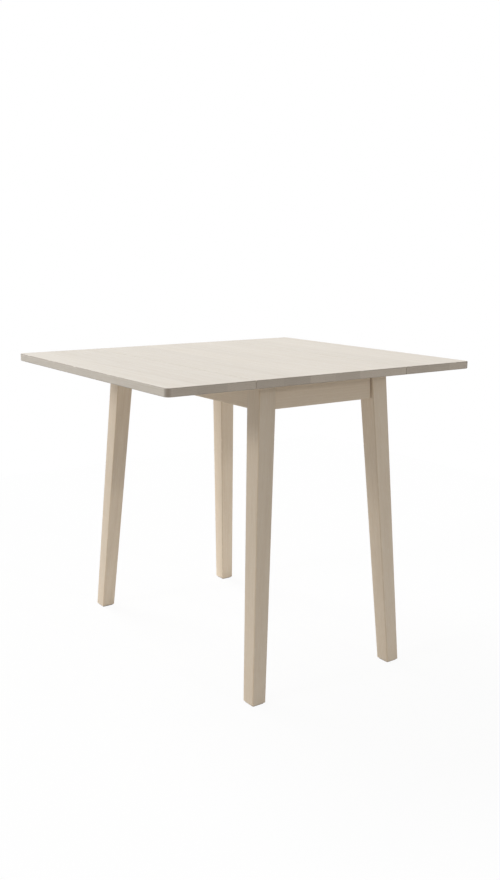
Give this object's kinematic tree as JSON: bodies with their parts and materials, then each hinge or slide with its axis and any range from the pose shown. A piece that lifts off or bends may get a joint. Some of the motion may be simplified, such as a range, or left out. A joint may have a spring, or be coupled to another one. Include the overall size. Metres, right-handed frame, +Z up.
{
  "type": "drop-leaf dining table",
  "caption": "Small dining table in limed wood: a centre panel on an apron frame with splayed tapered legs, and a hinged drop leaf at each end on folding stays.",
  "frame": {"origin": "on the floor under the middle of the table", "axes": "+X along the open table towards the right leaf, +Y to the back, +Z up"},
  "size_m": [0.9, 0.7676, 0.75],
  "materials": {
    "limed_wood": "limed and matt lacquered",
    "zinc_steel": "zinc plated",
    "glide_plastic": "moulded"
  },
  "bodies": {
    "frame": {"back_apron": "limed_wood", "back_left_corner_bracket": "zinc_steel", "back_left_foot_glide": "glide_plastic", "back_left_leg": "limed_wood", "back_left_leg_bolt": "zinc_steel", "back_right_corner_bracket": "zinc_steel", "back_right_foot_glide": "glide_plastic", "back_right_leg": "limed_wood", "back_right_leg_bolt": "zinc_steel", "centre_panel": "limed_wood", "front_apron": "limed_wood", "front_left_corner_bracket": "zinc_steel", "front_left_foot_glide": "glide_plastic", "front_left_leg": "limed_wood", "front_left_leg_bolt": "zinc_steel", "front_right_corner_bracket": "zinc_steel", "front_right_foot_glide": "glide_plastic", "front_right_leg": "limed_wood", "front_right_leg_bolt": "zinc_steel", "left_apron": "limed_wood", "left_back_hinge_panel_plate": "zinc_steel", "left_back_hinge_pin": "zinc_steel", "left_back_stay_bracket": "zinc_steel", "left_back_stay_pin": "zinc_steel", "left_front_hinge_panel_plate": "zinc_steel", "left_front_hinge_pin": "zinc_steel", "left_front_stay_bracket": "zinc_steel", "left_front_stay_pin": "zinc_steel", "left_middle_hinge_panel_plate": "zinc_steel", "left_middle_hinge_pin": "zinc_steel", "right_apron": "limed_wood", "right_back_hinge_panel_plate": "zinc_steel", "right_back_hinge_pin": "zinc_steel", "right_back_stay_bracket": "zinc_steel", "right_back_stay_pin": "zinc_steel", "right_front_hinge_panel_plate": "zinc_steel", "right_front_hinge_pin": "zinc_steel", "right_front_stay_bracket": "zinc_steel", "right_front_stay_pin": "zinc_steel", "right_middle_hinge_panel_plate": "zinc_steel", "right_middle_hinge_pin": "zinc_steel"},
    "left_leaf": {"left_leaf": "limed_wood", "left_front_hinge_leaf_plate": "zinc_steel", "left_middle_hinge_leaf_plate": "zinc_steel", "left_back_hinge_leaf_plate": "zinc_steel", "left_front_stay_rail": "zinc_steel", "left_back_stay_rail": "zinc_steel"},
    "left_front_stay_arm": {"left_front_stay_arm": "zinc_steel"},
    "left_back_stay_arm": {"left_back_stay_arm": "zinc_steel"},
    "right_leaf": {"right_leaf": "limed_wood", "right_front_hinge_leaf_plate": "zinc_steel", "right_middle_hinge_leaf_plate": "zinc_steel", "right_back_hinge_leaf_plate": "zinc_steel", "right_front_stay_rail": "zinc_steel", "right_back_stay_rail": "zinc_steel"},
    "right_front_stay_arm": {"right_front_stay_arm": "zinc_steel"},
    "right_back_stay_arm": {"right_back_stay_arm": "zinc_steel"}
  },
  "joints": [
    {"name": "left_leaf_hinge", "type": "hinge", "parent": "frame", "child": "left_leaf", "pos_m": [-0.2253, 0, 0.7275], "axis": [0, -1, 0], "range_deg": [0, 90]},
    {"name": "right_leaf_hinge", "type": "hinge", "parent": "frame", "child": "right_leaf", "pos_m": [0.2253, 0, 0.7275], "axis": [0, 1, 0], "range_deg": [0, 90]},
    {"name": "left_front_stay_pivot", "type": "hinge", "parent": "frame", "child": "left_front_stay_arm", "pos_m": [-0.203, -0.085, 0.694], "axis": [0, -1, 0], "range_deg": [0, 95.3]},
    {"name": "left_back_stay_pivot", "type": "hinge", "parent": "frame", "child": "left_back_stay_arm", "pos_m": [-0.203, 0.085, 0.694], "axis": [0, -1, 0], "range_deg": [0, 95.3]},
    {"name": "right_front_stay_pivot", "type": "hinge", "parent": "frame", "child": "right_front_stay_arm", "pos_m": [0.203, -0.085, 0.694], "axis": [0, 1, 0], "range_deg": [0, 95.3]},
    {"name": "right_back_stay_pivot", "type": "hinge", "parent": "frame", "child": "right_back_stay_arm", "pos_m": [0.203, 0.085, 0.694], "axis": [0, 1, 0], "range_deg": [0, 95.3]}
  ],
  "couplings": [
    {"joint": "left_front_stay_pivot", "follows": "left_leaf_hinge", "ratio": 1.058},
    {"joint": "left_back_stay_pivot", "follows": "left_leaf_hinge", "ratio": 1.058},
    {"joint": "right_front_stay_pivot", "follows": "right_leaf_hinge", "ratio": 1.058},
    {"joint": "right_back_stay_pivot", "follows": "right_leaf_hinge", "ratio": 1.058}
  ]
}
